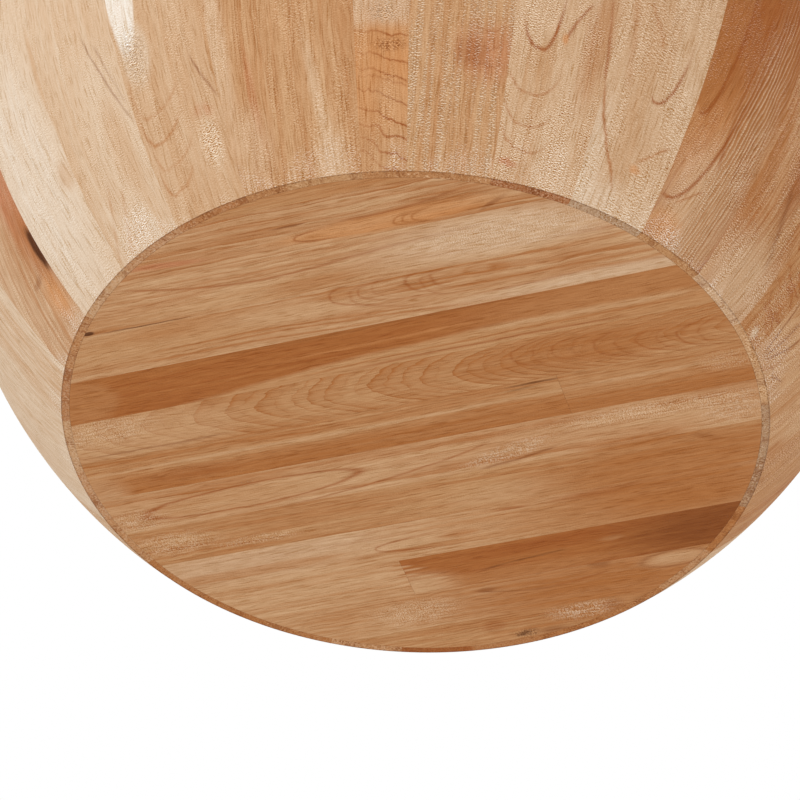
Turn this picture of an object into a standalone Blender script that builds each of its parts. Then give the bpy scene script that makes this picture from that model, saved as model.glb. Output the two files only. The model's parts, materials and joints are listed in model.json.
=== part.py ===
"""Barrel storage coffee table: a coopered wall of staves, a jointed base and a lift-off lid.

Metres, +Z up. The origin is on the floor at the middle of the base, and +X runs along
the base boards.
"""
import math

import bmesh
import bpy

# Whole table
HEIGHT = 0.455            # floor to the top of the lid
BASE_RADIUS = 0.260       # outside of the wall at the floor
BELLY_BULGE = 0.125       # how far the belly stands out beyond the base
BELLY_HEIGHT = 0.308      # where the wall is widest

# Wall
STAVE_THICKNESS = 0.022   # at the belly
LIP_WIDTH = 0.006         # stave end left showing round the base
LEDGE_WIDTH = 0.0055      # shoulder of the rebate, over the base
RIM_CHAMFER = 0.002       # outer arris at the mouth, and the lid's arris above it

# Base
BASE_THICKNESS = 0.020
BASE_BOARD_WIDTH = 0.042  # as near as whole boards come to it

# Lid
LID_THICKNESS = 0.028
LID_BOARD_WIDTH = 0.081   # as near as whole boards come to it
LID_EDGE_EASE = 0.004     # rounding of the lid's upper edge
CLEAT_WIDTH = 0.046
CLEAT_HEIGHT = 0.020
CLEAT_SPACING = 0.320     # between the two cleats' centre lines

# Clearances
GLUE_GAP = 0.0003         # between pieces that touch
BASE_CLEARANCE = 0.0005   # base in its rebate
CLEAT_CLEARANCE = 0.003   # cleat ends in the mouth

# Facets
STAVE_RINGS = 12          # along a stave
STAVE_STEPS = 3           # across a stave
ARC_STEPS = 4             # along one board's round end
CAP_STEPS = 14            # along an outermost board's round edge
EASE_STEPS = 3            # round the lid's upper edge
SMOOTH_ANGLE = math.radians(25)  # sharper edges stay sharp

# Staves in order, anticlockwise from the first seam, and each kind's parts of the turn
FIRST_SEAM = math.radians(-149.3)
STAVE_KINDS = "ffffntnfffffn" + "f" * 17
STAVE_PARTS = {"f": 100, "t": 93, "n": 53}   # full, trimmed, narrow

# The base panel is cut off centre, so the boards at its two edges are narrower than the rest
BASE_FIRST_PERCENT = 29
BASE_LAST_PERCENT = 78

# Boards joined end to end: the board's number and how far along it the joint is, in percent
BASE_END_JOINTS = {7: 73, 11: 37}

# Colours of the unfinished wood, linear: p pale, t tan, h honey, b brown
TONES = {
    "p": (0.64, 0.47, 0.30),
    "t": (0.56, 0.34, 0.17),
    "h": (0.48, 0.26, 0.11),
    "b": (0.40, 0.17, 0.055),
}
STAVE_TONES = "hpppptthttbbhtbthpthtbpthtptpp"
BASE_TONES = "tpptbhhpttttt"
SECOND_TONES = {7: "t", 11: "b"}
LID_TONES = "thptbtpth"
CLEAT_TONE = "t"
WOOD_ROUGHNESS = 0.62


def clear_scene():
    for old in list(bpy.data.objects):
        bpy.data.objects.remove(old, do_unlink=True)


def wall_arc(foot_radius, foot_z, belly_radius):
    """Radius against height on the arc through the foot whose widest point is the belly."""
    bulge = belly_radius - foot_radius
    rise = BELLY_HEIGHT - foot_z
    arc_radius = (bulge * bulge + rise * rise) / (2 * bulge)
    centre = belly_radius - arc_radius

    def radius_at(z):
        return centre + math.sqrt(arc_radius * arc_radius - (z - BELLY_HEIGHT) ** 2)

    return radius_at


# Sizes that follow from the driving ones
BELLY_RADIUS = BASE_RADIUS + BELLY_BULGE
LID_Z = HEIGHT - LID_THICKNESS
WALL_TOP = LID_Z - GLUE_GAP
SHOULDER_Z = BASE_THICKNESS + GLUE_GAP
REBATE_RADIUS = BASE_RADIUS - LIP_WIDTH
DISC_RADIUS = REBATE_RADIUS - BASE_CLEARANCE
outer_radius = wall_arc(BASE_RADIUS, 0.0, BELLY_RADIUS)
inner_radius = wall_arc(REBATE_RADIUS - LEDGE_WIDTH, SHOULDER_Z, BELLY_RADIUS - STAVE_THICKNESS)
MOUTH_RADIUS = min(inner_radius(WALL_TOP), inner_radius(WALL_TOP - CLEAT_HEIGHT))


def wood(name, tone):
    """A Principled material of one piece of wood."""
    material = bpy.data.materials.new(name)
    material.use_nodes = True
    shader = material.node_tree.nodes["Principled BSDF"]
    shader.inputs["Base Color"].default_value = (*TONES[tone], 1.0)
    shader.inputs["Roughness"].default_value = WOOD_ROUGHNESS
    shader.inputs["Metallic"].default_value = 0.0
    return material


def add_frame(name, z):
    """An empty that carries the pieces of one body."""
    frame = bpy.data.objects.new(name, None)
    frame.location = (0.0, 0.0, z)
    bpy.context.scene.collection.objects.link(frame)
    return frame


def add_piece(name, rings, tone, frame):
    """A closed solid through rings of points, each ring joined to the next and the ends filled."""
    shape = bmesh.new()
    loops = [[shape.verts.new(point) for point in ring] for ring in rings]
    count = len(loops[0])
    for lower, upper in zip(loops, loops[1:]):
        for i in range(count):
            j = (i + 1) % count
            shape.faces.new((lower[i], lower[j], upper[j], upper[i]))
    shape.faces.new(loops[0])
    shape.faces.new(loops[-1])
    bmesh.ops.recalc_face_normals(shape, faces=shape.faces)
    mesh = bpy.data.meshes.new(name)
    shape.to_mesh(mesh)
    shape.free()
    mesh.shade_smooth()
    mesh.set_sharp_from_angle(angle=SMOOTH_ANGLE)
    mesh.materials.append(wood(name, tone))
    piece = bpy.data.objects.new(name, mesh)
    piece.parent = frame
    bpy.context.scene.collection.objects.link(piece)
    return piece


def even(low, high, steps):
    return [low + (high - low) * i / steps for i in range(steps + 1)]


def stave_profile():
    """Section of the wall as (radius, z): up the outside, over the rim, down inside, round the rebate."""
    shoulder = WALL_TOP - RIM_CHAMFER
    outside = [(outer_radius(z), z) for z in even(0.0, shoulder, STAVE_RINGS)]
    rim = [(outer_radius(WALL_TOP) - RIM_CHAMFER, WALL_TOP)]
    inside = [(inner_radius(z), z) for z in even(WALL_TOP, SHOULDER_Z, STAVE_RINGS)]
    rebate = [(REBATE_RADIUS, SHOULDER_Z), (REBATE_RADIUS, 0.0)]
    return outside + rim + inside + rebate


def add_stave(number, start, end, tone, frame):
    """One stave between two radial seams, with half a glue gap left at each side."""
    profile = stave_profile()
    rings = []
    for share in even(0.0, 1.0, STAVE_STEPS):
        ring = []
        for radius, z in profile:
            inset = math.asin(GLUE_GAP / 2 / radius)
            angle = start + inset + share * (end - start - 2 * inset)
            ring.append((radius * math.cos(angle), radius * math.sin(angle), z))
        rings.append(ring)
    add_piece(f"stave_{number:02d}", rings, tone, frame)


def add_wall(frame):
    """Staves of the three widths, sharing out one full turn."""
    part = 2 * math.pi / sum(STAVE_PARTS[kind] for kind in STAVE_KINDS)
    start = FIRST_SEAM
    for number, kind in enumerate(STAVE_KINDS, 1):
        end = start + part * STAVE_PARTS[kind]
        add_stave(number, start, end, STAVE_TONES[(number - 1) % len(STAVE_TONES)], frame)
        start = end


def strip_edges(radius, width, first_percent=100, last_percent=100):
    """Edges along Y of the strips that fill a disc, with a narrower strip at either rim."""
    ends = (first_percent + last_percent) / 100
    inner_count = round(2 * radius / width - ends)
    pitch = 2 * radius / (inner_count + ends)
    first_seam = -radius + pitch * first_percent / 100
    seams = [first_seam + k * pitch for k in range(inner_count + 1)]
    lows = [-radius] + [seam + GLUE_GAP / 2 for seam in seams]
    highs = [seam - GLUE_GAP / 2 for seam in seams] + [radius]
    return list(zip(lows, highs))


def rim_points(radius, start, end, steps):
    return [(radius * math.cos(a), radius * math.sin(a)) for a in even(start, end, steps)]


def strip_outline(low, high, radius, outermost):
    """The strip of a disc between two lines along X, anticlockwise: right end, then left end."""
    if outermost and high > 0:
        edge = math.asin(low / radius)
        return rim_points(radius, edge, math.pi - edge, CAP_STEPS)
    if outermost:
        edge = math.asin(high / radius)
        return rim_points(radius, math.pi - edge, 2 * math.pi + edge, CAP_STEPS)
    below = math.asin(low / radius)
    above = math.asin(high / radius)
    right = rim_points(radius, below, above, ARC_STEPS)
    left = rim_points(radius, math.pi - above, math.pi - below, ARC_STEPS)
    return right + left


def cut_outline(outline, joint_x):
    """The two parts of a strip either side of an end joint, left part first."""
    half = len(outline) // 2
    right, left = outline[:half], outline[half:]
    low, high = right[0][1], right[-1][1]
    left_end = joint_x - GLUE_GAP / 2
    right_end = joint_x + GLUE_GAP / 2
    left_part = [(left_end, low), (left_end, high)] + left
    right_part = right + [(right_end, high), (right_end, low)]
    return left_part, right_part


def at_height(outline, z):
    return [(x, y, z) for x, y in outline]


def add_base(frame):
    """Edge-glued boards cut to a disc, flush with the floor inside the stave ends."""
    edges = strip_edges(DISC_RADIUS, BASE_BOARD_WIDTH, BASE_FIRST_PERCENT, BASE_LAST_PERCENT)
    for number, (low, high) in enumerate(edges, 1):
        name = f"base_board_{number:02d}"
        tone = BASE_TONES[(number - 1) % len(BASE_TONES)]
        outermost = number in (1, len(edges))
        outline = strip_outline(low, high, DISC_RADIUS, outermost)
        parts = [(name, outline, tone)]
        if number in BASE_END_JOINTS and not outermost:
            reach = max(x for x, _ in outline)
            joint_x = -reach + 2 * reach * BASE_END_JOINTS[number] / 100
            left_part, right_part = cut_outline(outline, joint_x)
            parts = [(name + "_left", left_part, tone), (name + "_right", right_part, SECOND_TONES[number])]
        for part_name, part_outline, part_tone in parts:
            rings = [at_height(part_outline, z) for z in (0.0, BASE_THICKNESS)]
            add_piece(part_name, rings, part_tone, frame)


def lid_levels():
    """The lid's edge as (radius, height over its underside), carrying on the curve of the wall."""
    levels = [(outer_radius(LID_Z) - RIM_CHAMFER, 0.0), (outer_radius(LID_Z + RIM_CHAMFER), RIM_CHAMFER)]
    ease_z = LID_THICKNESS - LID_EDGE_EASE
    ease_radius = outer_radius(LID_Z + ease_z) - LID_EDGE_EASE
    for turn in even(0.0, math.pi / 2, EASE_STEPS):
        radius = ease_radius + LID_EDGE_EASE * math.cos(turn)
        levels.append((radius, ease_z + LID_EDGE_EASE * math.sin(turn)))
    return levels


def add_lid(frame):
    """Wide boards with a turned edge, and two cleats below that sit in the mouth."""
    levels = lid_levels()
    least_radius = min(radius for radius, _ in levels)
    edges = strip_edges(least_radius, LID_BOARD_WIDTH)
    for number, (low, high) in enumerate(edges, 1):
        tone = LID_TONES[(number - 1) % len(LID_TONES)]
        outermost = number in (1, len(edges))
        rings = [at_height(strip_outline(low, high, radius, outermost), z) for radius, z in levels]
        add_piece(f"lid_board_{number:02d}", rings, tone, frame)
    cleat_radius = MOUTH_RADIUS - CLEAT_CLEARANCE
    for name, centre in (("lid_cleat_left", -CLEAT_SPACING / 2), ("lid_cleat_right", CLEAT_SPACING / 2)):
        lying = strip_outline(centre - CLEAT_WIDTH / 2, centre + CLEAT_WIDTH / 2, cleat_radius, False)
        outline = [(y, -x) for x, y in lying]
        rings = [at_height(outline, z) for z in (-GLUE_GAP - CLEAT_HEIGHT, -GLUE_GAP)]
        add_piece(name, rings, CLEAT_TONE, frame)


def build():
    clear_scene()
    barrel = add_frame("barrel_frame", 0.0)
    lid = add_frame("lid_frame", LID_Z)
    add_wall(barrel)
    add_base(barrel)
    add_lid(lid)


build()
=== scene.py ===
"""Looks of the barrel storage coffee table: every stave and board as brushed, unfinished wood."""

import itertools
import json
import math
import random
from dataclasses import dataclass, replace

import bmesh
import bpy
from mathutils import Matrix, Vector


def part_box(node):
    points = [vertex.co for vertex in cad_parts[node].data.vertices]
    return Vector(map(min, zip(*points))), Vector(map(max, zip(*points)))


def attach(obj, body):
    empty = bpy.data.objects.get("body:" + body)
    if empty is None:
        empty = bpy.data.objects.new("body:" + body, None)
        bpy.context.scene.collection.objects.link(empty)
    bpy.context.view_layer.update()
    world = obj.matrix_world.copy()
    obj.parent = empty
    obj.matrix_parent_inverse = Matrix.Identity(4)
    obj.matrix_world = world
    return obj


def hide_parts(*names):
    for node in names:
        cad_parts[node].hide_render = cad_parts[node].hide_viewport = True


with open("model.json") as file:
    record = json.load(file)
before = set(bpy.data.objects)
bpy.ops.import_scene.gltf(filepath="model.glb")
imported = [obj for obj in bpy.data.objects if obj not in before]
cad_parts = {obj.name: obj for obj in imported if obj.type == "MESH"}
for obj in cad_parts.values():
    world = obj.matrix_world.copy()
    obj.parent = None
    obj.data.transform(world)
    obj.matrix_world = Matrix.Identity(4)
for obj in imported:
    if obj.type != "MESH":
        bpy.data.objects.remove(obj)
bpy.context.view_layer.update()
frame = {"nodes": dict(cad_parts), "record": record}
nodes = frame["nodes"]
slots = {part["node"]: part["material_slot"] for part in frame["record"]["subparts"]}

# Sizes in metres
SEAM_GAP = 0.00002        # left showing between glued pieces
CAD_GAP = 0.0003          # between the same pieces in the frame
ARRIS = 0.00005           # easing along every edge
CLEAT_ARRIS = 0.0002      # easing along a cleat's lower edges
RIM_CHAMFER = 0.002       # outer arris at the mouth, and the lid's arris above it
LID_EASE = 0.004          # rounding of the lid's upper edge
BASE_GAP = 0.00012        # left showing round the base
FLOOR_DROP = 0.0005       # of the floor below the feet
FLOOR_REACH = 30.0        # from the middle to the floor's edges
MM = 0.001

# Facets
STAVE_ROWS = 44
STAVE_COLUMNS = 8
END_STEPS = 28
CAP_STEPS = 64
EASE_STEPS = 5
SMOOTH_ANGLE = math.radians(28)

# Camera, as the photograph was taken: from below, looking up at the base
CAMERA_PLACE = (0.5372, -1.5355, -1.4905)
CAMERA_TURN = math.radians(19.7)
CAMERA_TILT = math.radians(133.1)
CAMERA_ROLL = math.radians(2.99)
CAMERA_LENS = 135.0
CAMERA_SENSOR = 36.0
CAMERA_CLIP = 0.05

# Light
WORLD_SEEN = 1.0          # white, behind the object
WORLD_LIGHT = 0.91        # on the object
FLOOR_TONE = (0.86, 0.85, 0.84, 1.0)
LAMP_AIM = Vector((0, 0, 0.2))
LAMPS = (                 # name, place, size and power
    ("key_below", (-0.65, -2.65, -0.35), 0.65, 11.0),
    ("fill_below", (0.5, -1.2, -2.4), 2.0, 6.0),
    ("key_above", (-1.4, -1.6, 2.6), 2.0, 22.0),
)

# Wood tones as they show on a screen, 0 to 255
WHITE = (235, 225, 212)
CREAM = (216, 190, 162)
SAND = (208, 174, 140)
STRAW = (198, 155, 114)
TAN = (188, 140, 96)
HONEY = (178, 122, 76)
APRICOT = (204, 142, 90)
ROSE = (186, 118, 80)
AMBER = (168, 105, 56)
RUSSET = (154, 86, 40)
UMBER = (130, 72, 34)
BARK = (84, 46, 24)
DRIFT = (170, 136, 106)

# Figure of the wood: sizes of its spots along, across and below the face, in millimetres
STRAY_SIZE = (170.0, 38.0, 38.0)     # slow stray of the grain
RIPPLE_SIZE = (34.0, 11.0, 11.0)     # smaller waves in it
JAG_SIZE = (8.0, 3.0, 3.0)           # and the smallest
RING_SIZE = (500.0, 17.0, 17.0)      # uneven widths of the rings
FAINT_SIZE = (70.0, 14.0, 14.0)      # where a ring's dark line comes and goes
FIBRE_SIZE = (15.0, 1.1, 1.1)
STREAK_SIZE = (130.0, 3.6, 3.6)
TICK_SIZE = (16.0, 1.0, 1.0)         # dark pores along the grain
SPECK_SIZE = (1.3, 1.6, 1.6)         # brushed speckle
PIT_SIZE = (0.95, 1.1, 1.1)          # brushed hollows, shown in painted light and shade
RUBBED_SIZE = (48.0, 16.0, 16.0)     # where the brushing is stronger
CLOUD_SIZE = (110.0, 42.0, 42.0)     # slow change of tone
COLUMN_SIZE = (70.0, 4.0, 4.0)       # columns of ridges across the grain
RIDGE_SIZE = (0.95, 1.7, 1.7)        # and each such ridge
PORE_SIZE = (1.6, 1.6, 1.6)          # pores of the end grain
RAY_SIZE = (9.0, 1.6, 9.0)           # its rays
BAND_SIZE = (24.0, 14.0, 24.0)       # and its bands
CREST_BLUNTNESS = 12.0               # of the arcs where the middle of the tree is nearest
COMB_PITCH = 3.0                     # between combed grooves

# How far stray, ripple and jag carry the rings and the marks, in millimetres
RUN_REACH = (22.0, 12.0, 4.0)
SIDE_REACH = (8.0, 3.4, 1.2)
MARK_RUN_REACH = (10.0, 5.0, 3.0)
MARK_SIDE_REACH = (5.0, 2.0, 1.0)

# Surface of the wood, and the light and shade painted on its bumps
# strength of the light and shade painted on the brushed hollows
PIT_PAINTED_SHADE = 2.2
TICK_DEPTH = 0.24
RIDGE_FLOOR = -0.11          # the darkest painted shade in a hollow between ridges across the grain
EMBOSS_STEP = 0.6            # from a bump's painted light side to its painted dark side, in bumps
PAINTED_SHADE_WARMTH = (0.65, 1.0, 1.45)   # how strongly painted shade in a hollow darkens red, green and blue
ROUGHNESS = 0.62
SPECULAR = 0.04
BUMP_STRENGTH = 0.6
BUMP_DISTANCE = 0.0008       # in metres


def linear(colour):
    """Linear light for a tone written as it shows on a screen."""
    shares = (value / 255 for value in colour)
    return tuple(c / 12.92 if c <= 0.04045 else ((c + 0.055) / 1.055) ** 2.4 for c in shares)


# Node graphs

class Field:
    """One value in a material's node graph. Arithmetic on it adds Math nodes."""

    def __init__(self, graph, socket):
        self.graph = graph
        self.socket = socket

    def __add__(self, other):
        return self.graph.math("ADD", self, other)

    def __sub__(self, other):
        return self.graph.math("SUBTRACT", self, other)

    def __rsub__(self, other):
        return self.graph.math("SUBTRACT", other, self)

    def __mul__(self, other):
        return self.graph.math("MULTIPLY", self, other)

    def __truediv__(self, other):
        return self.graph.math("DIVIDE", self, other)

    def __pow__(self, other):
        return self.graph.math("POWER", self, other)

    __radd__ = __add__
    __rmul__ = __mul__


class Graph:
    """The node graph of one new material."""

    def __init__(self, name):
        self.material = bpy.data.materials.new(name)
        self.material.use_nodes = True
        self.nodes = self.material.node_tree.nodes
        self.links = self.material.node_tree.links
        self.shader = self.nodes["Principled BSDF"]

    def plug(self, socket, value):
        if isinstance(value, Field):
            self.links.new(value.socket, socket)
        else:
            socket.default_value = value

    def add(self, kind, inputs, **settings):
        node = self.nodes.new(kind)
        for key, value in settings.items():
            setattr(node, key, value)
        for key, value in inputs.items():
            self.plug(node.inputs[key], value)
        return node

    def math(self, operation, *values):
        node = self.add("ShaderNodeMath", dict(enumerate(values)), operation=operation)
        return Field(self, node.outputs[0])

    def ramp(self, value, low, high):
        """0 up to low, 1 from high on, smooth between, and the other way round if low is above high."""
        inputs = {"Value": value, "From Min": low, "From Max": high}
        node = self.add("ShaderNodeMapRange", inputs, interpolation_type="SMOOTHSTEP")
        return Field(self, node.outputs["Result"])

    def bell(self, value):
        """1 at 0, falling away smoothly on both sides."""
        return self.math("EXPONENT", value * value * -1.0)

    def length(self, first, second):
        return self.math("SQRT", first * first + second * second)

    def noise(self, place, size, shift, detail=2.0, roughness=0.5):
        """Smooth noise round 0, with spots of size (along, across, deep) in millimetres."""
        inputs = {0: place, 1: tuple(1 / length for length in size), 2: (shift, shift * 0.7, -shift)}
        scaled = self.add("ShaderNodeVectorMath", inputs, operation="MULTIPLY_ADD")
        inputs = {"Vector": Field(self, scaled.outputs[0]), "Scale": 1.0,
                  "Detail": detail, "Roughness": roughness}
        node = self.add("ShaderNodeTexNoise", inputs)
        return Field(self, node.outputs["Fac"]) - 0.5

    def emboss(self, place, size, shift):
        """Painted light and shade of small bumps: each gets a painted light side and a painted dark side.
        """
        step = (size[0] * EMBOSS_STEP, 0.0, 0.0)
        ahead = self.add("ShaderNodeVectorMath", {0: place, 1: step}, operation="ADD")
        ahead = Field(self, ahead.outputs[0])
        return self.noise(place, size, shift, 1.0) - self.noise(ahead, size, shift, 1.0)

    def scatter(self, value):
        """A random number from 0 to 1 for each whole value."""
        node = self.add("ShaderNodeTexWhiteNoise", {"W": value}, noise_dimensions="1D")
        return Field(self, node.outputs["Value"])

    def mix(self, share, first, second):
        node = self.add("ShaderNodeMix", {}, data_type="RGBA")
        self.plug(node.inputs["Factor"], share)
        for key, colour in (("A", first), ("B", second)):
            socket = next(s for s in node.inputs if s.name == key and s.type == "RGBA")
            self.plug(socket, colour if isinstance(colour, Field) else (*linear(colour), 1.0))
        return Field(self, next(s for s in node.outputs if s.type == "RGBA"))

    def shade(self, colour, grain_tone_and_painted_shade):
        """Painted light and shade, and grain tone, on a colour: warmer and darker in hollows, paler on
        ridges.
        """
        shares = {axis: grain_tone_and_painted_shade * effect + 1.0 for axis, effect in zip("XYZ", PAINTED_SHADE_WARMTH)}
        shares = Field(self, self.add("ShaderNodeCombineXYZ", shares).outputs[0])
        node = self.add("ShaderNodeVectorMath", {0: colour, 1: shares}, operation="MULTIPLY")
        return Field(self, node.outputs[0])


# Marks in the wood, in millimetres along and across the piece

BLUNTNESS = 2.6   # power of the curve at the tip of a bow: 2 is a parabola


@dataclass
class Patch:
    """A soft spot or streak."""
    at: tuple
    size: tuple
    tone: tuple
    amount: float = 0.6
    tilt: float = 0.0
    soft: float = 0.6

    def mask(self, graph, along, across):
        run = along - self.at[0]
        far = run / (self.size[0] / 2)
        wide = (across - self.at[1] - run * self.tilt) / (self.size[1] / 2)
        return graph.ramp(graph.length(far, wide), 1 + self.soft, 1 - self.soft)


@dataclass
class Trace:
    """A line along the grain from one point to another, sagging to one side between them."""
    at: tuple
    to: tuple
    tone: tuple
    amount: float = 0.6
    sag: float = 0.0
    width: float = 1.0

    def path(self, along):
        share = (along - self.at[0]) / (self.to[0] - self.at[0])
        sag = share * (1.0 - share) * (4 * self.sag)
        return share, share * (self.to[1] - self.at[1]) + self.at[1] + sag

    def mask(self, graph, along, across):
        share, path = self.path(along)
        ends = graph.ramp(share, 0.0, 0.2) * graph.ramp(share, 1.0, 0.8)
        return graph.bell((across - path) / self.width) * ends


@dataclass
class Edge(Trace):
    """Everything on one side of such a line: width is how soft the edge is, below 0 for the other side."""

    def mask(self, graph, along, across):
        path = self.path(along)[1]
        return graph.ramp(across - path, -self.width, self.width)


@dataclass
class Bow:
    """A U lying along the grain: span off its middle, its arms are rise farther along than its tip."""
    tip: tuple
    rise: float
    span: float
    tone: tuple
    amount: float = 0.6
    width: float = 1.0
    side: int = 0                 # 0 for both arms, 1 or -1 for the one on that side alone

    def inside(self, graph, along, across):
        """How many spans off the middle a point is, with and without its sign, and how far inside the U."""
        off = (across - self.tip[1]) / self.span
        reach = graph.math("ABSOLUTE", off)
        return off, reach, along - self.tip[0] - reach ** BLUNTNESS * self.rise

    def mask(self, graph, along, across):
        off, reach, depth = self.inside(graph, along, across)
        slope = graph.length(reach ** (BLUNTNESS - 1) * (BLUNTNESS * self.rise / self.span), 1.0)
        ends = graph.ramp(reach, 1.0, 0.6)
        if self.side:
            ends = ends * graph.ramp(off * self.side, -0.15, 0.1)
        return graph.bell(depth / slope / self.width) * ends


@dataclass
class Tongue(Bow):
    """The inside of such a U: width is how soft its edge is, and it ends fade along from the tip."""
    fade: float = 100.0

    def mask(self, graph, along, across):
        depth = self.inside(graph, along, across)[2]
        end = graph.ramp(along - self.tip[0], self.fade, self.fade * 0.5)
        return graph.ramp(depth, 0.0, self.width) * end


UNEVEN = ((1.0, 1.0), (0.55, 1.25), (0.8, 0.85), (0.5, 1.1))   # strength and length of nested lines in turn


def arcs(tips, tone, amount, width, arms):
    """Nested lines of uneven strength, each with an arm on either side, given as (side, rise, span)."""
    lines = []
    for tip, (share, reach) in zip(tips, itertools.cycle(UNEVEN)):
        for side, rise, span in arms:
            lines.append(Bow(tip, rise * reach, span * reach, tone, amount * share, width, side))
    return lines


@dataclass
class Loop(Patch):
    """A closed line round such a spot, soft times its width thick."""

    def mask(self, graph, along, across):
        run = along - self.at[0]
        far = run / (self.size[0] / 2)
        wide = (across - self.at[1] - run * self.tilt) / (self.size[1] / 2)
        return graph.bell((graph.length(far, wide) - 1.0) / self.soft)


@dataclass
class Worn(Patch):
    """Such a spot broken up into specks, where the surface is worn and pitted, with painted light and shade
    on its pits.
    """


@dataclass
class Comb(Patch):
    """Such a spot combed into grooves along the grain: painted shade in them, and a painted highlight of
    its tone on the ridges.
    """


@dataclass
class Cross(Trace):
    """A line across the grain, from one point to another."""

    def mask(self, graph, along, across):
        share = (across - self.at[1]) / (self.to[1] - self.at[1])
        path = share * (self.to[0] - self.at[0]) + self.at[0] + share * (1.0 - share) * (4 * self.sag)
        ends = graph.ramp(share, -0.1, 0.15) * graph.ramp(share, 1.1, 0.85)
        return graph.bell((along - path) / self.width) * ends * (0.5 + graph.ramp(share, 0.2, 0.7) * 0.5)


@dataclass
class Look:
    """How one piece of wood looks. Lengths are in millimetres."""
    pale: tuple = STRAW
    deep: tuple = AMBER
    pitch: float = 4.0            # between growth rings
    heart: tuple = (300.0, 40.0)  # middle of the tree: across, and below the face
    sink: float = 0.0             # how fast the middle of the tree sinks away from the crest
    crest: float = 0.0            # where along the piece it is nearest
    lean: float = 0.0             # how far the grain drifts across
    wander: float = 1.0           # how far the rings stray
    line: float = 0.5             # strength of the dark line at the end of a ring
    crisp: float = 3.0            # how thin that line is
    fade: float = 1.0             # how far that line comes and goes
    zone: float = 0.3             # difference of tone from ring to ring
    streak: float = 2.0           # long streaks along the grain
    fibre: float = 0.8            # fine fibres along the grain
    rough: float = 0.12           # brushed speckle, as bumps with painted light and shade on them
    chatter: float = 0.0          # fine ridges across the grain, as bumps with painted light, shade and glints
    scuff: float = 0.0            # pale wear near the foot, with painted glints on its bumps
    end: tuple = UMBER            # tone of the end grain
    marks: tuple = ()


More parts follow.
